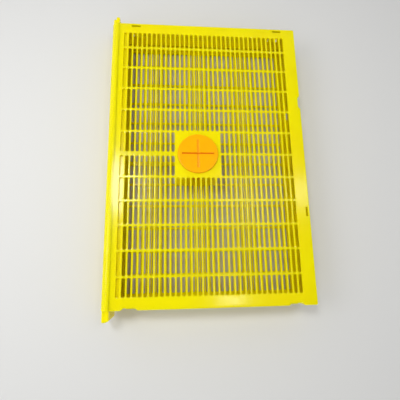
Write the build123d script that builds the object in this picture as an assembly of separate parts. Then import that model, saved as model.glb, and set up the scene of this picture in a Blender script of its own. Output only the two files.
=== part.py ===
from build123d import *
import os
from math import hypot

# Queen isolator cage: two identical slotted half shells that snap together round a comb.
# X runs from the top bar to the bottom edge, Y along the top bar, Z through the cage.
# The origin is the middle of the cage, on the parting plane between the halves.
# All sizes are in millimetres.

# Slotted grid: cross bars on the outer side, slot bars on the inner side
slot_width = 4.2
slot_bar_width = 2.0
slot_columns = 35
slot_rows = 12
slot_length = 27.2
end_slot_length = 21.2
cross_bar_width = 2.1
cross_bar_depth = 1.2
slot_bar_depth = 1.4

# Blank plate that carries the plug, and the wide rib that feeds it from the top bar
plate_first_column = 11
plate_columns = 9
feed_rib_width = 5.3

# Solid borders round the grid, and the shell behind them
top_border = 16.2
bottom_border = 16.5
end_border = 13.9
cage_depth = 41.5
wall = 2.2
corner_radius = 2.2
edge_chamfer = 0.6
parting_gap = 0.2

# Top bar: a channel with a rounded outer edge
top_bar_height = 9.7
top_bar_edge_radius = 7.2
top_bar_fall = 0.35
top_bar_cells = 7
top_bar_rib = 1.6

# Hanging lugs past both ends of the top bar: a low lip on the outer side, a taller tongue on the inner side
lug_length = 13.7
lug_height = 9.3
lip_height = 4.9
lip_drop = 10.0
tongue_drop = 3.2
tongue_inset = 2.3
lug_radius = 1.5

# Snap hooks, the pockets that take them, and the moulding windows above them
upper_snap_inset = 31.6
lower_snap_inset = 24.5
bottom_snap_offset = 73.0
hook_width = 11.0
hook_thickness = 1.4
hook_reach = 8.0
hook_nose = 1.0
flex_height = 8.0
flex_slit = 1.0
catch_height = 3.5
catch_lead = 1.4
snap_clearance = 0.3
pocket_mouth = 19.2
pocket_floor = 12.0
pocket_depth = 2.6
window_width = 2.6

# Twist-in plug
plug_hole_diameter = 38.0
plug_clearance = 0.3
plug_seat_gap = 0.1
flange_diameter = 49.8
flange_height = 2.2
flange_chamfer = 0.6
crown_thickness = 3.3
neck_wall = 2.0
coin_groove_length = 40.0
coin_groove_width = 1.8
coin_groove_depth = 1.6
cross_groove_length = 36.0
cross_groove_width = 3.4
cross_groove_depth = 0.7
tab_width = 12.0
tab_reach = 3.0
tab_thickness = 2.0
tab_gap = 0.3
stop_width = 2.0

# Sizes that follow from the ones above
column_pitch = slot_width + slot_bar_width
row_pitch = slot_length + cross_bar_width
grid_height = slot_columns * column_pitch - slot_bar_width
grid_length = (slot_rows - 2) * row_pitch + 2 * end_slot_length + cross_bar_width
cage_height = top_border + grid_height + bottom_border
cage_length = grid_length + 2 * end_border
panel = cross_bar_depth + slot_bar_depth
top_x = -cage_height / 2
bottom_x = cage_height / 2
seam_x = top_x + top_bar_height
grid_x = top_x + top_border
end_y = cage_length / 2
face_z = cage_depth / 2
inner_z = face_z - panel
rim_z = parting_gap / 2
plate_half = cross_bar_width / 2 + slot_length
plate_x = grid_x + plate_first_column * column_pitch
plate_height = plate_columns * column_pitch - slot_bar_width
plug_x = plate_x + plate_height / 2
neck_radius = plug_hole_diameter / 2 - plug_clearance
snap_x = (top_x + upper_snap_inset, bottom_x - lower_snap_inset)


def slab(low_x, high_x, low_y, high_y, low_z, high_z):
    """A box given by its two corners."""
    box = Box(high_x - low_x, high_y - low_y, high_z - low_z)
    return Pos((low_x + high_x) / 2, (low_y + high_y) / 2, (low_z + high_z) / 2) * box


def hook_end(x):
    """A place on the outer face of the end that carries hooks, with local Y pointing inwards."""
    return Location((x, end_y, 0), (0, 0, 180))


def pocket_end(x):
    """A place on the outer face of the end that has pockets, with local Y pointing inwards."""
    return Location((x, -end_y, 0))


def bottom_edge(y):
    """A place on the outer face of the bottom edge, with local Y pointing inwards."""
    return Location((bottom_x, y, 0), (0, 0, 90))


hook_places = [hook_end(x) for x in snap_x] + [bottom_edge(-bottom_snap_offset)]
pocket_places = [pocket_end(x) for x in snap_x] + [bottom_edge(bottom_snap_offset)]


def trapezoid(mouth, floor, depth, start=0.0):
    """A sketch that narrows from mouth to floor, from start inwards."""
    corners = [(-mouth / 2, start), (mouth / 2, start), (floor / 2, start + depth), (-floor / 2, start + depth)]
    return make_face(Polyline(*corners, close=True))


def pocket_sketch():
    return trapezoid(pocket_mouth, pocket_floor, pocket_depth)


def pocket_skin_sketch():
    """The step in the wall behind a pocket, as thick as the wall."""
    slant = (pocket_mouth - pocket_floor) / 2 / pocket_depth
    skin = 2 * wall * (hypot(1, slant) - slant)
    return trapezoid(pocket_mouth + skin, pocket_floor + skin, pocket_depth, wall)


def row_span(row):
    """The two Y limits of a row of slots, counted from the pocket end."""
    low = -grid_length / 2
    if row > 0:
        low += end_slot_length + cross_bar_width + (row - 1) * row_pitch
    length = end_slot_length if row in (0, slot_rows - 1) else slot_length
    return low, low + length


def row_openings():
    """Openings between the cross bars, cut from the outer side."""
    openings = []
    left_end = plate_x - slot_bar_width
    right_start = plate_x + plate_height + slot_bar_width
    for row in range(slot_rows):
        low, high = row_span(row)
        if abs(low + high) / 2 > plate_half:
            openings.append(slab(grid_x, grid_x + grid_height, low, high, face_z - cross_bar_depth, face_z))
            continue
        openings.append(slab(right_start, grid_x + grid_height, low, high, face_z - cross_bar_depth, face_z))
        low = max(low, feed_rib_width / 2) if low > 0 else low
        high = min(high, -feed_rib_width / 2) if high < 0 else high
        openings.append(slab(grid_x, left_end, low, high, face_z - cross_bar_depth, face_z))
    return openings


def slot_openings():
    """Openings between the slot bars, cut from the inner side."""
    openings = []
    plate_end = plate_half + cross_bar_width
    for column in range(slot_columns):
        low_x = grid_x + column * column_pitch
        high_x = low_x + slot_width
        if plate_first_column <= column < plate_first_column + plate_columns:
            spans = [(-grid_length / 2, -plate_end), (plate_end, grid_length / 2)]
        else:
            spans = [(-grid_length / 2, grid_length / 2)]
        for low_y, high_y in spans:
            openings.append(slab(low_x, high_x, low_y, high_y, inner_z, inner_z + slot_bar_depth))
    return openings


def plug_hole():
    """The round hole in the plate, with two key slots for the plug's tabs."""
    key_length = 2 * (neck_radius + tab_reach + plug_clearance)
    key = Rectangle(tab_width + 2 * plug_clearance, key_length)
    return Pos(plug_x, 0, inner_z) * extrude(Circle(plug_hole_diameter / 2) + key, panel)


def plug_stops():
    """Two ribs on the inner side of the plate that end the plug's turn at the locked place."""
    low_x = plug_hole_diameter / 2 + plug_clearance
    high_x = neck_radius + tab_reach
    high_y = -tab_width / 2 - plug_clearance
    depth = tab_gap + tab_thickness
    stop = slab(low_x, high_x, high_y - stop_width, high_y, inner_z - depth, inner_z)
    return [Pos(plug_x, 0, 0) * stop, Pos(plug_x, 0, 0) * Rot(0, 0, 180) * stop]


def shell_outline():
    """The outline of a half below its top bar, with its two free corners rounded."""
    outline = Pos((seam_x + bottom_x) / 2, 0) * Rectangle(bottom_x - seam_x, cage_length)
    return fillet(outline.vertices().sort_by(Axis.X)[-2:], corner_radius)


def grid_panel():
    """The slotted face, with its borders, its blank plate and the notches and windows of the snaps."""
    outline = shell_outline()
    for place in pocket_places:
        outline -= place * pocket_sketch()
    plate = Pos(0, 0, inner_z) * extrude(outline, panel)
    rim = [e for e in plate.edges().group_by(Axis.Z)[-1] if e.center().X > seam_x + edge_chamfer]
    plate = chamfer(rim, edge_chamfer)
    window = slab(-hook_width / 2 - snap_clearance, hook_width / 2 + snap_clearance,
                  wall, wall + window_width, inner_z, face_z)
    windows = [place * window for place in hook_places]
    return plate - row_openings() - slot_openings() - windows - plug_hole() + plug_stops()


def flex_gap():
    """The opening in a wall that a hook bends in."""
    half = hook_width / 2 + flex_slit
    return slab(-half, half, 0, wall, rim_z, flex_height)


def catch_ridge():
    """The ridge on the floor of a pocket that a hook catches behind."""
    top = hook_thickness + snap_clearance
    profile = [(pocket_depth, catch_height - catch_lead - (pocket_depth - top)), (top, catch_height - catch_lead),
               (top, catch_height), (pocket_depth, catch_height)]
    face = Plane.YZ * make_face(Polyline(*profile, close=True))
    return extrude(face, hook_width / 2, both=True)


def wall_height(sketch):
    return Pos(0, 0, rim_z) * extrude(sketch, inner_z - rim_z)


def end_wall(side):
    """A plain end wall; side is 1 at the hook end and -1 at the pocket end."""
    strip = Pos((seam_x + bottom_x) / 2, side * (end_y - wall / 2)) * Rectangle(bottom_x - seam_x, wall)
    return shell_outline() & strip


def hook_end_wall():
    return wall_height(end_wall(1)) - [place * flex_gap() for place in hook_places[:2]]


def pocket_end_wall():
    sketch = end_wall(-1)
    for place in pocket_places[:2]:
        sketch = sketch + place * pocket_skin_sketch() - place * pocket_sketch()
    return wall_height(sketch) + [place * catch_ridge() for place in pocket_places[:2]]


def bottom_wall():
    sketch = shell_outline() & Pos(bottom_x - wall / 2, 0) * Rectangle(wall, cage_length - 2 * wall)
    pocket = pocket_places[2]
    sketch = sketch + pocket * pocket_skin_sketch() - pocket * pocket_sketch()
    return wall_height(sketch) - hook_places[2] * flex_gap() + pocket * catch_ridge()


def bar_section(inset, top_z):
    """The top bar's section, or that of the channel inside it when inset by the wall."""
    low_x, high_x = top_x + inset, seam_x - inset
    corners = [(low_x, rim_z), (high_x, rim_z), (high_x, top_z), (low_x, top_z - top_bar_fall)]
    section = make_face(Polyline(*corners, close=True))
    return Plane.XZ * fillet(section.vertices().group_by(Axis.X)[0].sort_by(Axis.Y)[-1], top_bar_edge_radius - inset)


def lug():
    """The hanging lug at the hook end, hollow from the parting side."""
    tip_y = end_y + lug_length
    tongue_y = tip_y - tongue_inset
    lip = slab(top_x, top_x + lip_height, end_y, tip_y, rim_z, face_z - lip_drop)
    lip = fillet(lip.edges().filter_by(Axis.Z).sort_by(Axis.Y)[-2:].sort_by(Axis.X)[0], lug_radius)
    tongue = slab(top_x + lip_height, top_x + lug_height, end_y, tongue_y, rim_z, face_z - tongue_drop)
    tongue = fillet(tongue.edges().filter_by(Axis.Z).sort_by(Axis.Y)[-2:].sort_by(Axis.X)[-1], lug_radius)
    hollow = slab(top_x + wall, top_x + lug_height - wall, end_y, tongue_y - wall, rim_z, face_z - lip_drop - wall)
    return lip + tongue - hollow


def top_bar():
    """The channel along the top, ribbed inside, with a lug at each end."""
    bar = extrude(bar_section(0, face_z), end_y, both=True)
    cell_length = (2 * (end_y - wall) + top_bar_rib) / top_bar_cells - top_bar_rib
    channel = extrude(bar_section(wall, inner_z), cell_length / 2, both=True)
    for number in range(top_bar_cells):
        bar -= Pos(0, (number - (top_bar_cells - 1) / 2) * (cell_length + top_bar_rib), 0) * channel
    return bar + lug() + mirror(lug(), Plane.XZ)


def snap_hook():
    """A springy tongue with a barb on its inner side, flush with the outer face of its wall."""
    barb_tip = pocket_depth - snap_clearance
    catch_z = -catch_height - snap_clearance
    profile = [(0, flex_height), (hook_thickness, flex_height), (hook_thickness, catch_z), (barb_tip, catch_z),
               (barb_tip, catch_z - hook_nose), (hook_thickness / 2, -hook_reach), (0, -hook_reach)]
    face = Plane.YZ * make_face(Polyline(*profile, close=True))
    return extrude(face, hook_width / 2, both=True)


def snap_hooks():
    return Part() + [place * snap_hook() for place in hook_places]


def plug():
    """A flanged cap with a coin groove over a shallow round one, a hollow neck and two bayonet tabs."""
    under_z = face_z + plug_seat_gap
    top_z = under_z + flange_height
    neck_z = inner_z - tab_gap - tab_thickness
    cap = Pos(0, 0, under_z) * extrude(Circle(flange_diameter / 2), flange_height)
    cap = chamfer(cap.edges().group_by(Axis.Z)[-1], flange_chamfer)
    cap += Pos(0, 0, neck_z) * extrude(Circle(neck_radius), under_z - neck_z)
    cap -= Pos(0, 0, neck_z) * extrude(Circle(neck_radius - neck_wall), top_z - crown_thickness - neck_z)
    groove = Rectangle(coin_groove_length, coin_groove_width)
    cap -= Pos(0, 0, top_z - coin_groove_depth) * extrude(groove, coin_groove_depth)
    groove_radius = (cross_groove_width ** 2 / 4 + cross_groove_depth ** 2) / (2 * cross_groove_depth)
    groove = Rot(90, 0, 0) * Cylinder(groove_radius, cross_groove_length)
    cap -= Pos(0, 0, top_z - cross_groove_depth + groove_radius) * groove
    ring = Circle(neck_radius + tab_reach) - Circle(neck_radius - neck_wall / 2)
    tabs = ring & Rectangle(2 * (neck_radius + tab_reach), tab_width)
    cap += Pos(0, 0, neck_z) * extrude(tabs, tab_thickness)
    return Pos(plug_x, 0, 0) * cap


half_shell = {
    "grid_panel": grid_panel(),
    "hook_end_wall": hook_end_wall(),
    "pocket_end_wall": pocket_end_wall(),
    "bottom_wall": bottom_wall(),
    "top_bar": top_bar(),
    "snap_hooks": snap_hooks(),
    "plug": plug(),
}

# The back half is the front half turned half a turn about X
os.makedirs("parts", exist_ok=True)
for name, piece in half_shell.items():
    export_step(piece, f"parts/front_{name}.step")
    export_step(Rot(180, 0, 0) * piece, f"parts/back_{name}.step")
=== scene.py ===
import bmesh
import bpy
import math
from bpy.props import FloatProperty, FloatVectorProperty, IntProperty, PointerProperty
from mathutils import Matrix, Vector


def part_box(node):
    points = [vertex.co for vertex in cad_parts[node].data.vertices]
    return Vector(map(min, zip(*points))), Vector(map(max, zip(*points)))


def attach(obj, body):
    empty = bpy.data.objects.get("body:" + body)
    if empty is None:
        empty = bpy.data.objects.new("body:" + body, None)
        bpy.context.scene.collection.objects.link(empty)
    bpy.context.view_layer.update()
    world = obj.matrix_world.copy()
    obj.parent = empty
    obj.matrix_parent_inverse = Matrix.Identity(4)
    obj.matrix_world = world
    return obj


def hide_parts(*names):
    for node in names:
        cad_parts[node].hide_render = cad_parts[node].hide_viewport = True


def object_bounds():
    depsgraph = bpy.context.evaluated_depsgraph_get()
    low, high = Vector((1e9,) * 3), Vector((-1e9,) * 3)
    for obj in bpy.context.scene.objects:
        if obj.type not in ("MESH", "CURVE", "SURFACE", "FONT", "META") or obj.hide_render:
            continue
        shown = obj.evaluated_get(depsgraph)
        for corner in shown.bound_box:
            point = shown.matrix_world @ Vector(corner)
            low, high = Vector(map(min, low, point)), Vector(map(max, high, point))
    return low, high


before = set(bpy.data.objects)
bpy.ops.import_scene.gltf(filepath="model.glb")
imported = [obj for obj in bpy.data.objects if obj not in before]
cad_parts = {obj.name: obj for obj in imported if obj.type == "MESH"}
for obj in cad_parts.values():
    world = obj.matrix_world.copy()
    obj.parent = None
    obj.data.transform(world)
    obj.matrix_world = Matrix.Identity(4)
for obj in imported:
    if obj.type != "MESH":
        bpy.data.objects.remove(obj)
CAD_BOX = [list(corner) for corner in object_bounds()]

bl_info = {
    "name": "Queen Isolator Cage",
    "version": (1, 0, 0),
    "blender": (4, 5, 0),
    "location": "View3D > Sidebar > Cage",
    "description": "Dresses a snap-together queen isolator cage in glossy moulded plastic",
    "category": "Object",
}

HALVES = ("front", "back")
# The back half is the front half turned half a turn about X
HALF_TURN = Matrix.Diagonal((1.0, -1.0, -1.0, 1.0))

# Distances in metres within which places are the same, doubles are welded and slivers are cleared
NEAR = 1e-5
WELD = 1e-6
SLIVER = 2e-6

# An edge that bends by more is rounded, and one between two bars is shaded crisp
SHARP_ANGLE = math.radians(35)
CRISP_ANGLE = math.radians(50)

# Straight pieces of a rounding and of an arc
ROUNDING_STEPS = 2
WEB_ROUNDING_STEPS = 1
WEB_STEPS = 4
CORNER_STEPS = 8
HOLE_STEPS = 40

# How much the large faces lead the shading of the roundings beside them, in percent
SHADING_WEIGHT = 90

# Cross bars that would run through the plate
PLATE_CROSS_BARS = 3

# Scale of the plastics' colour drift and of their grain, per metre
SHELL_DRIFT = 14.0
PLUG_DRIFT = 45.0
GRAIN = 1400.0

# Share of the glow depth for red, green and blue, and how much the plastic bends light
GLOW_TINT = (1.0, 1.0, 0.1)
PLASTIC_IOR = 1.49


def length(name, description, default):
    """A length in metres, shown in the scene's unit."""
    return FloatProperty(name=name, description=description, default=default, min=0.0, precision=5,
                         unit="LENGTH")


def colour(name, description, default):
    """A colour in linear light."""
    return FloatVectorProperty(name=name, description=description, default=default, size=3, min=0.0, max=1.0,
                               subtype="COLOR")


def share(name, description, default):
    """A value from 0 to 1."""
    return FloatProperty(name=name, description=description, default=default, min=0.0, max=1.0,
                         subtype="FACTOR")


def count(name, description, default, least):
    """A number of columns or rows."""
    return IntProperty(name=name, description=description, default=default, min=least)


class CageGridSizes(bpy.types.PropertyGroup):
    """Sizes of the slotted faces."""
    slot_width: length("Slot width", "Gap that workers pass and the queen does not", 0.0042)
    bar_width: length("Slot bar width", "Width of a bar between two columns of slots", 0.0020)
    bar_sink: length("Slot bar sink", "How far the slot bars lie below the outer face", 0.0001)
    cross_bar_width: length("Cross bar width", "Width of a bar between two rows of slots", 0.0025)
    cross_bar_depth: length("Cross bar depth", "Depth of a cross bar, from the outer face inwards", 0.0012)
    face_depth: length("Face depth", "Thickness of the borders and of the plate", 0.0026)
    slot_length: length("Slot length", "Length of a slot in the inner rows", 0.0268)
    end_slot_length: length("End slot length", "Length of a slot in the first and last row", 0.0210)
    columns: count("Columns", "Columns of slots", 35, 3)
    rows: count("Rows", "Rows of slots, an even number", 12, 6)
    plate_first: count("Plate starts after", "Columns between the top border and the plate", 11, 2)
    plate_columns: count("Plate columns", "Columns that the plate covers", 9, 1)
    feed_rib_width: length("Feed rib width", "Width of the rib from the top bar to the plate", 0.0053)
    top_border: length("Top border", "From the top bar's outer face to the first slots", 0.0162)
    blind_depth: length("Blind slot depth", "Depth of the first column's slots, closed inside", 0.0025)
    blind_skin: length("Blind skin", "Thickness of the strip that closes the first column's slots", 0.0012)
    rounding: length("Edge rounding", "Radius of the moulded edges", 0.0003)
    slot_end_rounding: length("Slot end rounding", "Radius of the corners of a slot", 0.0019)
    rim_rounding: length("Rim rounding", "Radius of the outer rim of a face", 0.0006)


class CageSnapSizes(bpy.types.PropertyGroup):
    """Places and sizes of the notches, slits and plug hole in the slotted faces."""
    upper_inset: length("Upper snap", "From the top bar's outer face to the upper snaps", 0.0316)
    lower_inset: length("Lower snap", "From the bottom edge to the lower snaps", 0.0245)
    bottom_offset: length("Bottom snap", "From the middle to the snaps of the bottom edge", 0.0730)
    notch_mouth: length("Notch mouth", "Width of a notch at the edge", 0.0192)
    notch_floor: length("Notch floor", "Width of a notch at its floor", 0.0120)
    notch_depth: length("Notch depth", "Depth of a notch", 0.0026)
    slit_length: length("Slit length", "Length of the slit above a hook", 0.0116)
    slit_width: length("Slit width", "Width of the slit above a hook", 0.0026)
    wall: length("Wall", "Thickness of the walls, and radius of the free corners", 0.0022)
    hole_diameter: length("Plug hole", "Diameter of the hole in the plate", 0.0380)
    key_width: length("Key slot width", "Width of the slots that the plug's tabs pass", 0.0126)
    key_reach: length("Key slot reach", "From the hole's middle to the end of a key slot", 0.0220)
    stop_low: length("Stop start", "From the hole's middle to the near end of a plug stop", 0.0193)
    stop_high: length("Stop end", "From the hole's middle to the far end of a plug stop", 0.0217)
    stop_side: length("Stop side", "From the hole's middle line to a plug stop", 0.0063)
    stop_width: length("Stop width", "Width of a plug stop", 0.0020)
    stop_depth: length("Stop depth", "How far a plug stop stands inwards from the plate", 0.0023)


class CageFinish(bpy.types.PropertyGroup):
    """Colours and gloss of the plastics and of the stage."""
    yellow: colour("Shell yellow", "Colour of the half shells", (0.965, 0.785, 0.0005))
    yellow_deep: colour("Deep yellow", "Colour that the half shells drift to", (0.925, 0.735, 0.0005))
    orange: colour("Plug orange", "Colour of the plugs", (1.0, 0.45, 0.001))
    orange_deep: colour("Deep orange", "Colour that the plugs drift to", (0.98, 0.42, 0.001))
    # Painted shade: the plugs darken to this colour with depth in their grooves and down the flange's side,
    # where shade falls
    groove_shade: colour("Groove orange", "Colour at the bottom of the plugs' grooves", (0.80, 0.19, 0.001))
    groove_depth: length("Groove depth", "Depth at which the groove colour is full", 0.0015)
    flange_height: length("Flange height", "Depth below which no groove colour shows", 0.0021)
    floor: colour("Floor", "Colour of the floor", (0.70, 0.70, 0.69))
    roughness: share("Roughness", "Roughness of the moulded plastic", 0.15)
    shine: share("Shine", "Strength of the plastic's reflections", 0.25)
    shell_glow: share("Shell glow", "How much light passes into the half shells", 0.90)
    plug_glow: share("Plug glow", "How much light passes into the plugs", 0.15)
    glow_depth: length("Glow depth", "How far light passes into the plastic", 0.006)


def shell_limits():
    """Places of the front half's face in the row frame, in metres."""
    low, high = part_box("front_grid_panel")
    top_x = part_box("front_top_bar")[0].x
    return {"top_x": top_x, "seam_x": low.x, "bottom_x": high.x, "end_y": high.y, "face_z": high.z}


def grid_limits(grid, at):
    """Places of the slots and of the plate in the front face."""
    size = {"pitch": grid.slot_width + grid.bar_width, "row_pitch": grid.slot_length + grid.cross_bar_width}
    size["x"] = at["top_x"] + grid.top_border
    size["height"] = grid.columns * size["pitch"] - grid.bar_width
    size["length"] = (grid.rows - 2) * size["row_pitch"] + 2 * grid.end_slot_length + grid.cross_bar_width
    first_x = size["x"] + grid.plate_first * size["pitch"]
    size["plate_low"] = first_x - grid.bar_width
    size["plate_high"] = first_x + grid.plate_columns * size["pitch"]
    size["plate_end"] = size["row_pitch"] + grid.cross_bar_width / 2
    size["plug_x"] = (size["plate_low"] + size["plate_high"]) / 2
    size["inner_z"] = at["face_z"] - grid.face_depth
    return size


def link(tree, source, target):
    tree.links.new(source, target)


def add_node(tree, kind, values=None, **settings):
    """A new node with its settings, and then with values on its inputs."""
    node = tree.nodes.new(kind)
    for name, setting in settings.items():
        setattr(node, name, setting)
    for key, value in (values or {}).items():
        node.inputs[key].default_value = value
    return node


def add_socket(tree, side, name, kind):
    """A new socket of a node group; returns its identifier."""
    return tree.interface.new_socket(name, in_out=side, socket_type="NodeSocket" + kind).identifier


# Sockets of the moulded surface
SURFACE_SOCKETS = (
    ("INPUT", "Colour", "Color"),
    ("INPUT", "Deep Colour", "Color"),
    ("INPUT", "Roughness", "Float"),
    ("INPUT", "Drift Scale", "Float"),
    ("INPUT", "Grain Scale", "Float"),
    ("OUTPUT", "Colour", "Color"),
    ("OUTPUT", "Roughness", "Float"),
    ("OUTPUT", "Height", "Float"),
)


def moulded_surface_group():
    """Slow colour drift, fine grain and faint scuffs of moulded plastic."""
    tree = bpy.data.node_groups.new("moulded_surface", "ShaderNodeTree")
    for side, name, kind in SURFACE_SOCKETS:
        add_socket(tree, side, name, kind)
    enter = add_node(tree, "NodeGroupInput")
    leave = add_node(tree, "NodeGroupOutput")
    place = add_node(tree, "ShaderNodeTexCoord")
    drift = add_node(tree, "ShaderNodeTexNoise", {"Detail": 3.0, "Roughness": 0.45})
    link(tree, place.outputs["Object"], drift.inputs["Vector"])
    link(tree, enter.outputs["Drift Scale"], drift.inputs["Scale"])
    spread = add_node(tree, "ShaderNodeMapRange", {"From Min": 0.35, "From Max": 0.68})
    link(tree, drift.outputs["Fac"], spread.inputs["Value"])
    tint = add_node(tree, "ShaderNodeMix", data_type="RGBA")
    link(tree, spread.outputs["Result"], tint.inputs["Factor"])
    link(tree, enter.outputs["Colour"], tint.inputs["A"])
    link(tree, enter.outputs["Deep Colour"], tint.inputs["B"])
    link(tree, tint.outputs["Result"], leave.inputs["Colour"])
    grain = add_node(tree, "ShaderNodeTexNoise", {"Detail": 2.0})
    link(tree, place.outputs["Object"], grain.inputs["Vector"])
    link(tree, enter.outputs["Grain Scale"], grain.inputs["Scale"])
    slant = (0.0, 0.0, math.radians(24))
    turn = add_node(tree, "ShaderNodeMapping", {"Rotation": slant, "Scale": (40.0, 900.0, 900.0)})
    link(tree, place.outputs["Object"], turn.inputs["Vector"])
    scuff = add_node(tree, "ShaderNodeTexNoise", {"Scale": 1.0, "Detail": 2.0})
    link(tree, turn.outputs["Vector"], scuff.inputs["Vector"])
    mark = add_node(tree, "ShaderNodeMapRange", {"From Min": 0.62, "From Max": 0.80, "To Max": 0.16})
    link(tree, scuff.outputs["Fac"], mark.inputs["Value"])
    haze = add_node(tree, "ShaderNodeMapRange", {"To Min": -0.05, "To Max": 0.07})
    link(tree, drift.outputs["Fac"], haze.inputs["Value"])
    rough = add_node(tree, "ShaderNodeMath", operation="ADD")
    link(tree, enter.outputs["Roughness"], rough.inputs[0])
    link(tree, haze.outputs["Result"], rough.inputs[1])
    total = add_node(tree, "ShaderNodeMath", operation="ADD")
    link(tree, rough.outputs["Value"], total.inputs[0])
    link(tree, mark.outputs["Result"], total.inputs[1])
    link(tree, total.outputs["Value"], leave.inputs["Roughness"])
    relief = add_node(tree, "ShaderNodeMath", {1: -0.4}, operation="MULTIPLY_ADD")
    link(tree, mark.outputs["Result"], relief.inputs[0])
    link(tree, grain.outputs["Fac"], relief.inputs[2])
    link(tree, relief.outputs["Value"], leave.inputs["Height"])
    return tree


def moulded_plastic(name, base, deep, glow, drift_scale):
    """A glossy plastic with the shared moulded surface."""
    finish = bpy.context.scene.cage_finish
    material = bpy.data.materials.new(name)
    material.use_nodes = True
    tree = material.node_tree
    shader = tree.nodes["Principled BSDF"]
    group = bpy.data.node_groups.get("moulded_surface") or moulded_surface_group()
    values = {"Colour": (*base, 1.0), "Deep Colour": (*deep, 1.0), "Roughness": finish.roughness,
              "Drift Scale": drift_scale, "Grain Scale": GRAIN}
    surface = add_node(tree, "ShaderNodeGroup", values, node_tree=group)
    bump = add_node(tree, "ShaderNodeBump", {"Strength": 0.10, "Distance": 0.0001})
    link(tree, surface.outputs["Colour"], shader.inputs["Base Color"])
    link(tree, surface.outputs["Roughness"], shader.inputs["Roughness"])
    link(tree, surface.outputs["Height"], bump.inputs["Height"])
    link(tree, bump.outputs["Normal"], shader.inputs["Normal"])
    shader.inputs["IOR"].default_value = PLASTIC_IOR
    shader.inputs["Specular IOR Level"].default_value = finish.shine
    shader.inputs["Subsurface Weight"].default_value = glow
    shader.inputs["Subsurface Radius"].default_value = GLOW_TINT
    shader.inputs["Subsurface Scale"].default_value = finish.glow_depth
    return material


def shell_plastic():
    """The half shells' yellow, made once."""
    name = "shell_yellow"
    finish = bpy.context.scene.cage_finish
    found = bpy.data.materials.get(name)
    return found or moulded_plastic(name, finish.yellow, finish.yellow_deep, finish.shell_glow, SHELL_DRIFT)


def plug_plastic():
    """The plugs' orange, with painted shade that darkens it with depth in the grooves and down the flange's
    side.
    """
    finish = bpy.context.scene.cage_finish
    material = moulded_plastic("plug_orange", finish.orange, finish.orange_deep, finish.plug_glow, PLUG_DRIFT)
    tree = material.node_tree
    # Painted shade: mix in the groove shade colour by depth below the plug's top, only within the flange's
    # height
    place = add_node(tree, "ShaderNodeTexCoord")
    axes = add_node(tree, "ShaderNodeSeparateXYZ")
    link(tree, place.outputs["Object"], axes.inputs["Vector"])
    height = add_node(tree, "ShaderNodeMath", operation="ABSOLUTE")
    link(tree, axes.outputs["Z"], height.inputs[0])
    top_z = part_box("front_plug")[1].z
    limits = {"From Min": top_z, "From Max": top_z - finish.groove_depth}
    depth = add_node(tree, "ShaderNodeMapRange", limits)
    link(tree, height.outputs["Value"], depth.inputs["Value"])
    flange = add_node(tree, "ShaderNodeMath", {1: top_z - finish.flange_height}, operation="GREATER_THAN")
    link(tree, height.outputs["Value"], flange.inputs[0])
    groove_shade_share = add_node(tree, "ShaderNodeMath", operation="MULTIPLY")
    link(tree, depth.outputs["Result"], groove_shade_share.inputs[0])
    link(tree, flange.outputs["Value"], groove_shade_share.inputs[1])
    tint = add_node(tree, "ShaderNodeMix", {"B": (*finish.groove_shade, 1.0)}, data_type="RGBA")
    base = tree.nodes["Principled BSDF"].inputs["Base Color"]
    plain = base.links[0].from_socket
    link(tree, groove_shade_share.outputs["Value"], tint.inputs["Factor"])
    link(tree, plain, tint.inputs["A"])
    link(tree, tint.outputs["Result"], base)
    return material


def held(name, data):
    """A new object in the scene, at the origin."""
    holder = bpy.data.objects.new(name, data)
    bpy.context.scene.collection.objects.link(holder)
    return holder


def plain_mesh(holder):
    """The evaluated shape of an object as a mesh of its own; the object is removed."""
    bpy.context.view_layer.update()
    evaluated = holder.evaluated_get(bpy.context.evaluated_depsgraph_get())
    mesh = bpy.data.meshes.new_from_object(evaluated)
    data = holder.data
    bpy.data.objects.remove(holder)
    if isinstance(data, bpy.types.Mesh):
        bpy.data.meshes.remove(data)
    else:
        bpy.data.curves.remove(data)
    return mesh


def flat_plate(name, outlines, low_z, high_z):
    """A sharp-edged plate between two heights, from closed outlines; inner outlines are holes."""
    curve = bpy.data.curves.new(name, "CURVE")
    curve.dimensions = "2D"
    curve.fill_mode = "BOTH"
    curve.extrude = (high_z - low_z) / 2
    for points in outlines:
        spline = curve.splines.new("POLY")
        spline.points.add(len(points) - 1)
        for point, (x, y) in zip(spline.points, points):
            point.co = (x, y, 0.0, 1.0)
        spline.use_cyclic_u = True
    mesh = plain_mesh(held(name, curve))
    mesh.transform(Matrix.Translation((0, 0, (low_z + high_z) / 2)))
    return mesh


def rectangle(low_x, high_x, low_y, high_y):
    return [(low_x, low_y), (high_x, low_y), (high_x, high_y), (low_x, high_y)]


def arc(centre, radius, start, end, steps):
    """Points of an arc between two angles in degrees."""
    angles = [math.radians(start + (end - start) * i / steps) for i in range(steps + 1)]
    return [(centre[0] + radius * math.cos(a), centre[1] + radius * math.sin(a)) for a in angles]


def merged(meshes, name):
    """One mesh from several, with the doubles of each merged."""
    shape = bmesh.new()
    for mesh in meshes:
        before = set(shape.verts)
        shape.from_mesh(mesh)
        added = [vert for vert in shape.verts if vert not in before]
        bmesh.ops.remove_doubles(shape, verts=added, dist=WELD)
    bmesh.ops.recalc_face_normals(shape, faces=shape.faces)
    mesh = bpy.data.meshes.new(name)
    shape.to_mesh(mesh)
    shape.free()
    return mesh


def rounding_weights(mesh, weight_of):
    """Mark how much each sharp edge is rounded; an edge with no weight stays crisp."""
    shape = bmesh.new()
    shape.from_mesh(mesh)
    layer = shape.edges.layers.float.new("bevel_weight_edge")
    for face in shape.faces:
        face.smooth = True
    for edge in shape.edges:
        if len(edge.link_faces) == 2 and edge.calc_face_angle() < SHARP_ANGLE:
            continue
        edge[layer] = weight_of([vert.co for vert in edge.verts])
        edge.smooth = edge[layer] > 0
    shape.to_mesh(mesh)
    shape.free()


def on_plane(ends, axis, value):
    """Whether both ends of an edge lie on a plane across an axis."""
    return all(abs(end[axis] - value) < NEAR for end in ends)


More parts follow.
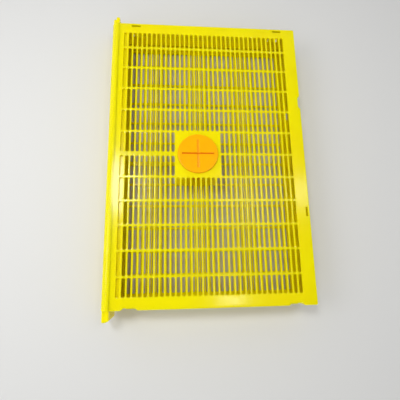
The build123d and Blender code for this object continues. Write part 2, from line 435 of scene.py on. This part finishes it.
def add_rounding(holder, width, segments=ROUNDING_STEPS):
    edges = holder.modifiers.new("rounding", "BEVEL")
    edges.limit_method = "WEIGHT"
    edges.width = width
    edges.segments = segments
    edges.use_clamp_overlap = False
    edges.loop_slide = False


def add_even_shading(holder):
    shading = holder.modifiers.new("shading", "WEIGHTED_NORMAL")
    shading.mode = "FACE_AREA"
    shading.weight = SHADING_WEIGHT
    shading.keep_sharp = True


def dressed(half, piece, mesh, body):
    """Show a mesh in place of a solid, turned over for the back half."""
    own = mesh.copy()
    if half == "back":
        own.transform(HALF_TURN)
    own.name = f"{half}_{piece}_moulded"
    shown = held(own.name, own)
    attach(shown, body)
    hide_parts(f"{half}_{piece}")


def border_outlines(at, size, snap):
    """Outer edge of the front face with its three notches, its grid opening and its three slits."""
    upper_x = at["top_x"] + snap.upper_inset
    lower_x = at["bottom_x"] - snap.lower_inset
    mouth, floor, depth = snap.notch_mouth / 2, snap.notch_floor / 2, snap.notch_depth
    right, end, radius = at["bottom_x"], at["end_y"], snap.wall
    outer = [(at["seam_x"], -end)]
    for x in (upper_x, lower_x):
        outer += [(x - mouth, -end), (x - floor, -end + depth), (x + floor, -end + depth), (x + mouth, -end)]
    outer += arc((right - radius, -end + radius), radius, -90, 0, CORNER_STEPS)
    y = snap.bottom_offset
    outer += [(right, y - mouth), (right - depth, y - floor), (right - depth, y + floor), (right, y + mouth)]
    outer += arc((right - radius, end - radius), radius, 0, 90, CORNER_STEPS)
    outer += [(at["seam_x"], end)]
    opening = rectangle(size["x"], size["x"] + size["height"], -size["length"] / 2, size["length"] / 2)
    half = snap.slit_length / 2
    near, far = snap.wall, snap.wall + snap.slit_width
    slits = [rectangle(x - half, x + half, end - far, end - near) for x in (upper_x, lower_x)]
    slits.append(rectangle(right - far, right - near, -y - half, -y + half))
    return [outer, opening] + slits


def plug_hole(size, snap):
    """The round hole in the plate with its two key slots."""
    radius, half = snap.hole_diameter / 2, snap.key_width / 2
    corner = math.degrees(math.asin(half / radius))
    centre = (size["plug_x"], 0.0)
    points = arc(centre, radius, -90 + corner, 90 - corner, HOLE_STEPS)
    points += [(centre[0] + half, snap.key_reach), (centre[0] - half, snap.key_reach)]
    points += arc(centre, radius, 90 + corner, 270 - corner, HOLE_STEPS)
    points += [(centre[0] - half, -snap.key_reach), (centre[0] + half, -snap.key_reach)]
    return points


def stop_outlines(size, snap):
    """The two ribs on the inner side of the plate that end the plug's turn."""
    x, low, high = size["plug_x"], snap.stop_low, snap.stop_high
    side, far = snap.stop_side, snap.stop_side + snap.stop_width
    return rectangle(x + low, x + high, -far, -side), rectangle(x - high, x - low, side, far)


def blind_strip(size, grid):
    """The strip behind the first column of slots, which lets nothing through."""
    seat = grid.bar_width / 2
    end = size["length"] / 2 + seat
    return rectangle(size["x"] - seat, size["x"] + grid.slot_width + seat, -end, end)


def face_blank(at, size, grid, snap):
    """Borders, plate, blind strip and plug stops of the front face, with the rounding of each edge marked."""
    inner_z, face_z = size["inner_z"], at["face_z"]
    blind_z = face_z - grid.blind_depth
    plate_edge = rectangle(size["plate_low"], size["plate_high"], -size["plate_end"], size["plate_end"])
    plates = [flat_plate("borders", border_outlines(at, size, snap), inner_z, face_z),
              flat_plate("plate", [plate_edge, plug_hole(size, snap)], inner_z, face_z),
              flat_plate("strip", [blind_strip(size, grid)], blind_z - grid.blind_skin, blind_z)]
    for outline in stop_outlines(size, snap):
        plates.append(flat_plate("stop", [outline], inner_z - snap.stop_depth, inner_z + grid.rounding))
    mesh = merged(plates, "face_blank")
    for plate in plates:
        bpy.data.meshes.remove(plate)
    slits_y = at["end_y"] - snap.wall
    slits_x = at["bottom_x"] - snap.wall

    def weight(ends):
        middle = (ends[0] + ends[1]) / 2
        outer = abs(middle.y) > slits_y + NEAR or middle.x > slits_x + NEAR
        outer = outer or abs(middle.y + at["end_y"]) < snap.notch_depth + NEAR
        outer = outer or middle.x > at["bottom_x"] - snap.notch_depth - NEAR and middle.y > 0
        if on_plane(ends, 0, at["seam_x"]) or outer and on_plane(ends, 2, inner_z):
            return 0.0
        return 1.0 if outer and on_plane(ends, 2, face_z) else grid.rounding / grid.rim_rounding

    rounding_weights(mesh, weight)
    return mesh


def point_line(tree, enter, prefix, words):
    """A line of points, with its inputs taken from the sockets of a set."""
    line = add_node(tree, "GeometryNodeMeshLine")
    for word, name in words.items():
        link(tree, enter.outputs[prefix + " " + word], line.inputs[name])
    return line.outputs["Mesh"]


def laid_on(tree, points, instance):
    """One instance on each point."""
    laid = add_node(tree, "GeometryNodeInstanceOnPoints")
    link(tree, points, laid.inputs["Points"])
    link(tree, instance, laid.inputs["Instance"])
    return laid.outputs["Instances"]


def bar_pattern(tree, enter, prefix):
    """Nodes that lay equal rounded bars side by side; returns the geometry that comes out."""
    profile = add_node(tree, "GeometryNodeCurvePrimitiveQuadrilateral")
    link(tree, enter.outputs[prefix + " Width"], profile.inputs["Width"])
    link(tree, enter.outputs[prefix + " Depth"], profile.inputs["Height"])
    steps = {"Count": ROUNDING_STEPS, "Limit Radius": True}
    rounded = add_node(tree, "GeometryNodeFilletCurve", steps, mode="POLY")
    link(tree, profile.outputs["Curve"], rounded.inputs["Curve"])
    link(tree, enter.outputs["Rounding"], rounded.inputs["Radius"])
    run = add_node(tree, "GeometryNodeCurvePrimitiveLine", {"Start": (0, 0, 0)})
    link(tree, enter.outputs[prefix + " Run"], run.inputs["End"])
    bar = add_node(tree, "GeometryNodeCurveToMesh", {"Fill Caps": True})
    link(tree, run.outputs["Curve"], bar.inputs["Curve"])
    link(tree, rounded.outputs["Curve"], bar.inputs["Profile Curve"])
    words = {"Count": "Count", "Start": "Start Location", "Step": "Offset"}
    return laid_on(tree, point_line(tree, enter, prefix, words), bar.outputs["Mesh"])


def web_pattern(tree, enter, prefix, web):
    """Nodes that lay the web of the slot ends on rows and columns of crossings."""
    words = {"Columns": "Count", "Start": "Start Location", "Step": "Offset"}
    columns = point_line(tree, enter, prefix, words)
    rows = point_line(tree, enter, prefix, {"Rows": "Count", "Row Step": "Offset"})
    places = add_node(tree, "GeometryNodeRealizeInstances")
    link(tree, laid_on(tree, rows, columns), places.inputs["Geometry"])
    return laid_on(tree, places.outputs["Geometry"], web)


# Inputs of each set of bars and of each set of webs
BAR_INPUTS = {"Width": "Float", "Depth": "Float", "Run": "Vector", "Count": "Int", "Start": "Vector",
              "Step": "Vector"}
WEB_INPUTS = {"Columns": "Int", "Rows": "Int", "Start": "Vector", "Step": "Vector", "Row Step": "Vector"}


def bar_grid_tree(sets, webs):
    """A tree that adds sets of equal bars, and the webs where they cross, to the borders that it is given."""
    tree = bpy.data.node_groups.new("slotted_face_bars", "GeometryNodeTree")
    tree.is_modifier = True
    add_socket(tree, "INPUT", "Borders", "Geometry")
    add_socket(tree, "OUTPUT", "Face", "Geometry")
    ids = {}
    for name, kind in (("Rounding", "Float"), ("Plastic", "Material"), ("Web", "Object")):
        ids[name] = add_socket(tree, "INPUT", name, kind)
    for names, inputs in ((sets, BAR_INPUTS), (webs, WEB_INPUTS)):
        for prefix in names:
            for word, kind in inputs.items():
                label = prefix + " " + word
                ids[label] = add_socket(tree, "INPUT", label, kind)
    enter = add_node(tree, "NodeGroupInput")
    leave = add_node(tree, "NodeGroupOutput")
    moulding = add_node(tree, "GeometryNodeMeshBoolean", operation="UNION", solver="MANIFOLD")
    web = add_node(tree, "GeometryNodeObjectInfo")
    link(tree, enter.outputs["Web"], web.inputs["Object"])
    for prefix in sets:
        link(tree, bar_pattern(tree, enter, prefix), moulding.inputs["Mesh 2"])
    for prefix in webs:
        link(tree, web_pattern(tree, enter, prefix, web.outputs["Geometry"]), moulding.inputs["Mesh 2"])
    link(tree, enter.outputs["Borders"], moulding.inputs["Mesh 2"])
    clean = add_node(tree, "GeometryNodeMergeByDistance", {"Distance": SLIVER})
    link(tree, moulding.outputs["Mesh"], clean.inputs["Geometry"])
    real = add_node(tree, "GeometryNodeRealizeInstances")
    link(tree, clean.outputs["Geometry"], real.inputs["Geometry"])
    bend = add_node(tree, "GeometryNodeInputMeshEdgeAngle")
    crisp = add_node(tree, "FunctionNodeCompare", {"B": CRISP_ANGLE}, operation="GREATER_THAN")
    link(tree, bend.outputs["Unsigned Angle"], crisp.inputs["A"])
    shaded = add_node(tree, "GeometryNodeSetShadeSmooth")
    link(tree, real.outputs["Geometry"], shaded.inputs["Geometry"])
    edges = add_node(tree, "GeometryNodeSetShadeSmooth", {"Shade Smooth": False}, domain="EDGE")
    link(tree, shaded.outputs["Geometry"], edges.inputs["Geometry"])
    link(tree, crisp.outputs["Result"], edges.inputs["Selection"])
    coat = add_node(tree, "GeometryNodeSetMaterial")
    link(tree, edges.outputs["Geometry"], coat.inputs["Geometry"])
    link(tree, enter.outputs["Plastic"], coat.inputs["Material"])
    link(tree, coat.outputs["Geometry"], leave.inputs["Face"])
    return tree, ids


def bar_sets(grid, size, at):
    """Width, depth, run, count, start and step of each set of bars of the front face."""
    root = grid.rounding
    depth = grid.face_depth - grid.bar_sink
    bar_z = size["inner_z"] + depth / 2
    low_y = -size["length"] / 2 - root
    first_x = size["x"] + grid.slot_width + grid.bar_width / 2
    beside = grid.plate_first - 1
    middle = grid.plate_columns + 1
    past = grid.columns - 1 - beside - middle
    plate_x = first_x + beside * size["pitch"]
    lower_x = plate_x + middle * size["pitch"]
    step = (size["pitch"], 0, 0)
    slot = (grid.bar_width, depth)
    long = (0, size["length"] + 2 * root, 0)
    short_run = size["length"] / 2 - size["plate_end"] + 2 * root
    short = (0, short_run, 0)
    cross_z = at["face_z"] - grid.cross_bar_depth / 2
    cross = (grid.cross_bar_width, grid.cross_bar_depth)
    feed = (grid.feed_rib_width, grid.cross_bar_depth)
    side_bars = (grid.rows - 1 - PLATE_CROSS_BARS) // 2
    low_x = size["x"] - root
    near_y = -size["length"] / 2 + grid.end_slot_length + grid.cross_bar_width / 2
    far_y = near_y + (side_bars + PLATE_CROSS_BARS) * size["row_pitch"]
    rib_y = -size["row_pitch"]
    row_step, rib_step = (0, size["row_pitch"], 0), (0, 2 * size["row_pitch"], 0)
    whole = (size["height"] + 2 * root, 0, 0)
    upper = (size["plate_low"] - size["x"] + 2 * root, 0, 0)
    lower = (size["x"] + size["height"] - size["plate_high"] + 2 * root, 0, 0)
    rib_x = size["plate_high"] - root
    return {
        "Upper Bars": (*slot, long, beside, (first_x, low_y, bar_z), step),
        "Lower Bars": (*slot, long, past, (lower_x, low_y, bar_z), step),
        "Near Plate Bars": (*slot, short, middle, (plate_x, low_y, bar_z), step),
        "Far Plate Bars": (*slot, short, middle, (plate_x, -low_y - short_run, bar_z), step),
        "Near Cross Bars": (*cross, whole, side_bars, (low_x, near_y, cross_z), row_step),
        "Far Cross Bars": (*cross, whole, side_bars, (low_x, far_y, cross_z), row_step),
        "Upper Plate Ribs": (*cross, upper, PLATE_CROSS_BARS - 1, (low_x, rib_y, cross_z), rib_step),
        "Lower Plate Ribs": (*cross, lower, PLATE_CROSS_BARS, (rib_x, rib_y, cross_z), row_step),
        "Feed Rib": (*feed, upper, 1, (low_x, 0, cross_z), row_step),
    }


def slot_end_web(grid):
    """A thin four-pointed web that rounds the slot ends round one crossing, with its top at height 0."""
    radius = grid.slot_end_rounding
    half_bar, half_cross = grid.bar_width / 2, grid.cross_bar_width / 2
    outline = []
    for side, end, start in ((1, 1, 180), (1, -1, 90), (-1, -1, 0), (-1, 1, -90)):
        centre = (side * (half_bar + radius), end * (half_cross + radius))
        outline += arc(centre, radius, start, start + 90, WEB_STEPS)
    plate = flat_plate("web", [outline], -grid.cross_bar_depth + grid.bar_sink, 0.0)
    mesh = merged([plate], "slot_end_web")
    bpy.data.meshes.remove(plate)
    rounding_weights(mesh, lambda ends: 1.0 if on_plane(ends, 2, 0.0) else 0.0)
    holder = held("slot_end_web", mesh)
    add_rounding(holder, grid.rounding, WEB_ROUNDING_STEPS)
    return held("slot_end_web", plain_mesh(holder))


def web_sets(grid, size, at):
    """Columns, rows, start, step and row step of each set of crossings of the front face."""
    z = at["face_z"] - grid.bar_sink / 2
    low_x = size["x"] - grid.bar_width / 2
    plate_x = size["plate_high"] - grid.bar_width / 2
    across, beside = grid.columns + 1, grid.plate_first + 1
    past = across - grid.plate_first - grid.plate_columns
    rows = grid.rows // 2 - 1
    step, row_step = (size["pitch"], 0, 0), (0, size["row_pitch"], 0)
    end_y = size["length"] / 2 + grid.cross_bar_width / 2
    feed_y = (grid.feed_rib_width - grid.cross_bar_width) / 2
    return {
        "Near Webs": (across, rows, (low_x, -rows * size["row_pitch"], z), step, row_step),
        "Far Webs": (across, rows, (low_x, size["row_pitch"], z), step, row_step),
        "End Webs": (across, 2, (low_x, -end_y, z), step, (0, 2 * end_y, 0)),
        "Feed Webs": (beside, 2, (low_x, -feed_y, z), step, (0, 2 * feed_y, 0)),
        "Middle Webs": (past, 1, (plate_x, 0, z), step, row_step),
    }


class CAGE_OT_slotted_faces(bpy.types.Operator):
    """Make both slotted faces: borders, plate, slot bars and cross bars"""
    bl_idname = "cage.slotted_faces"
    bl_label = "Slotted Faces"

    def execute(self, context):
        grid, snap = context.scene.cage_grid, context.scene.cage_snaps
        at = shell_limits()
        size = grid_limits(grid, at)
        holder = held("slotted_face", face_blank(at, size, grid, snap))
        add_rounding(holder, grid.rim_rounding)
        sets, webs, web = bar_sets(grid, size, at), web_sets(grid, size, at), slot_end_web(grid)
        tree, ids = bar_grid_tree(sets, webs)
        bars = holder.modifiers.new("bars", "NODES")
        bars.node_group = tree
        bars[ids["Rounding"]] = grid.rounding
        bars[ids["Plastic"]] = shell_plastic()
        bars[ids["Web"]] = web
        for names, inputs in ((sets, BAR_INPUTS), (webs, WEB_INPUTS)):
            for prefix, values in names.items():
                for word, value in zip(inputs, values):
                    bars[ids[prefix + " " + word]] = value
        add_even_shading(holder)
        mesh = plain_mesh(holder)
        web_mesh = web.data
        bpy.data.objects.remove(web)
        bpy.data.meshes.remove(web_mesh)
        for half in HALVES:
            dressed(half, "grid_panel", mesh, half + "_half")
        bpy.data.meshes.remove(mesh)
        return {"FINISHED"}


def moulded_copy(node, rounding, seams, material):
    """A copy of a solid with its edges rounded as a mould leaves them, apart from those on its seams."""
    mesh = merged([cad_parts[node].data], node + "_copy")
    rounding_weights(mesh, lambda ends: 0.0 if any(on_plane(ends, *seam) for seam in seams) else 1.0)
    holder = held(node + "_copy", mesh)
    add_rounding(holder, rounding)
    add_even_shading(holder)
    mesh = plain_mesh(holder)
    mesh.materials.clear()
    mesh.materials.append(material)
    return mesh


class CAGE_OT_half_shells(bpy.types.Operator):
    """Dress the walls, top bars and snap hooks of both halves"""
    bl_idname = "cage.half_shells"
    bl_label = "Half Shells"

    def execute(self, context):
        grid, wall = context.scene.cage_grid, context.scene.cage_snaps.wall
        at = shell_limits()
        # Axis and place of each seam, where a piece meets the next one of its moulding
        face, top = (2, at["face_z"] - grid.face_depth), (0, at["seam_x"])
        ends = [(1, side * (at["end_y"] - wall)) for side in (1, -1)]
        seams = {"hook_end_wall": [face, top], "pocket_end_wall": [face, top], "bottom_wall": [face] + ends,
                 "top_bar": [top], "snap_hooks": []}
        for piece, planes in seams.items():
            mesh = moulded_copy("front_" + piece, grid.rounding, planes, shell_plastic())
            for half in HALVES:
                dressed(half, piece, mesh, half + "_half")
            bpy.data.meshes.remove(mesh)
        return {"FINISHED"}


class CAGE_OT_plugs(bpy.types.Operator):
    """Dress the twist-in plug of each face"""
    bl_idname = "cage.plugs"
    bl_label = "Plugs"

    def execute(self, context):
        mesh = moulded_copy("front_plug", context.scene.cage_grid.rounding / 2, [], plug_plastic())
        for half in HALVES:
            dressed(half, "plug", mesh, half + "_plug_body")
        bpy.data.meshes.remove(mesh)
        return {"FINISHED"}


# Half the width of the floor, in metres, and its roughness
FLOOR_REACH = 6.0
FLOOR_ROUGHNESS = 0.9

# Light of the studio's walls and ceiling, and the heights of view between which one turns into the other
WALL_LIGHT = 0.70
CEILING_LIGHT = 0.12
WALL_TOP = 0.6
CEILING_START = 0.8

# Name, place, power in watts and diameter of each lamp
CEILING_LAMPS = (
    ("key_lamp", (0.247, 0.113, 0.880), 0.7, 0.20),
    ("near_lamp", (0.180, -0.288, 0.898), 0.35, 0.08),
    ("top_bar_lamp", (-0.288, 0.176, 0.877), 2.75, 0.22),
    ("edge_lamp", (0.472, 0.134, 0.827), 0.4, 0.10),
    ("side_lamp", (-0.550, -0.050, 0.550), 1.55, 0.40),
    ("fill_lamp", (-0.250, -0.750, 0.900), 1.6, 0.80),
)

# Place of the camera in metres, its turn in degrees, and its lens and sensor in millimetres
CAMERA_PLACE = (-0.03992, -0.12880, 0.37342)
CAMERA_TURN = (11.335, -4.435, -1.073)
CAMERA_LENS = 27.0
CAMERA_SENSOR = 36.0


def floor_paint(base):
    """A matt paint for the floor."""
    material = bpy.data.materials.new("floor_paint")
    material.use_nodes = True
    shader = material.node_tree.nodes["Principled BSDF"]
    shader.inputs["Base Color"].default_value = (*base, 1.0)
    shader.inputs["Roughness"].default_value = FLOOR_ROUGHNESS
    return material


def pale_floor(base):
    """A wide floor under the cage."""
    mesh = bpy.data.meshes.new("floor")
    shape = bmesh.new()
    bmesh.ops.create_grid(shape, x_segments=1, y_segments=1, size=FLOOR_REACH)
    shape.to_mesh(mesh)
    shape.free()
    mesh.transform(Matrix.Translation((0, 0, CAD_BOX[0][2])))
    mesh.materials.append(floor_paint(base))
    return held("floor", mesh)


def studio_world():
    """Pale walls under a dimmer ceiling."""
    world = bpy.data.worlds.new("studio")
    world.use_nodes = True
    tree = world.node_tree
    sky = tree.nodes["Background"]
    sky.inputs["Color"].default_value = (1.0, 1.0, 1.0, 1.0)
    place = add_node(tree, "ShaderNodeTexCoord")
    axes = add_node(tree, "ShaderNodeSeparateXYZ")
    link(tree, place.outputs["Generated"], axes.inputs["Vector"])
    limits = {"From Min": WALL_TOP, "From Max": CEILING_START, "To Min": WALL_LIGHT, "To Max": CEILING_LIGHT}
    level = add_node(tree, "ShaderNodeMapRange", limits, interpolation_type="SMOOTHSTEP")
    link(tree, axes.outputs["Z"], level.inputs["Value"])
    link(tree, level.outputs["Result"], sky.inputs["Strength"])
    return world


def soft_lamp(name, place, power, size):
    """A round lamp that is aimed at the middle of the cage."""
    lamp = bpy.data.lights.new(name, "AREA")
    lamp.energy = power
    lamp.shape = "DISK"
    lamp.size = size
    holder = held(name, lamp)
    holder.location = place
    holder.rotation_euler = (-Vector(place)).to_track_quat("-Z", "Y").to_euler()


def fitted_camera():
    """The camera that looks down on the cage from near its middle."""
    camera = bpy.data.cameras.new("camera")
    camera.lens = CAMERA_LENS
    camera.sensor_width = CAMERA_SENSOR
    holder = held("camera", camera)
    holder.location = CAMERA_PLACE
    holder.rotation_euler = [math.radians(angle) for angle in CAMERA_TURN]
    return holder


class CAGE_OT_stage(bpy.types.Operator):
    """Set up the floor, the light and the camera"""
    bl_idname = "cage.stage"
    bl_label = "Stage"

    def execute(self, context):
        scene = context.scene
        pale_floor(scene.cage_finish.floor)
        scene.world = studio_world()
        for lamp in CEILING_LAMPS:
            soft_lamp(*lamp)
        scene.camera = fitted_camera()
        scene.view_settings.view_transform = "Standard"
        return {"FINISHED"}


class CAGE_PT_sidebar(bpy.types.Panel):
    """Sizes and steps of the cage"""
    bl_label = "Queen Isolator Cage"
    bl_space_type = "VIEW_3D"
    bl_region_type = "UI"
    bl_category = "Cage"

    def draw(self, context):
        for group in (context.scene.cage_grid, context.scene.cage_snaps, context.scene.cage_finish):
            box = self.layout.box()
            for name in group.__annotations__:
                box.prop(group, name)
        for step in STEPS:
            self.layout.operator(step.bl_idname)


STEPS = (CAGE_OT_slotted_faces, CAGE_OT_half_shells, CAGE_OT_plugs, CAGE_OT_stage)
CLASSES = (CageGridSizes, CageSnapSizes, CageFinish) + STEPS + (CAGE_PT_sidebar,)


def register():
    for cls in CLASSES:
        bpy.utils.register_class(cls)
    bpy.types.Scene.cage_grid = PointerProperty(type=CageGridSizes)
    bpy.types.Scene.cage_snaps = PointerProperty(type=CageSnapSizes)
    bpy.types.Scene.cage_finish = PointerProperty(type=CageFinish)


def unregister():
    del bpy.types.Scene.cage_finish
    del bpy.types.Scene.cage_snaps
    del bpy.types.Scene.cage_grid
    for cls in reversed(CLASSES):
        bpy.utils.unregister_class(cls)


def main():
    register()
    bpy.ops.cage.slotted_faces()
    bpy.ops.cage.half_shells()
    bpy.ops.cage.plugs()
    bpy.ops.cage.stage()
    bpy.context.view_layer.update()


if __name__ == "__main__":
    main()
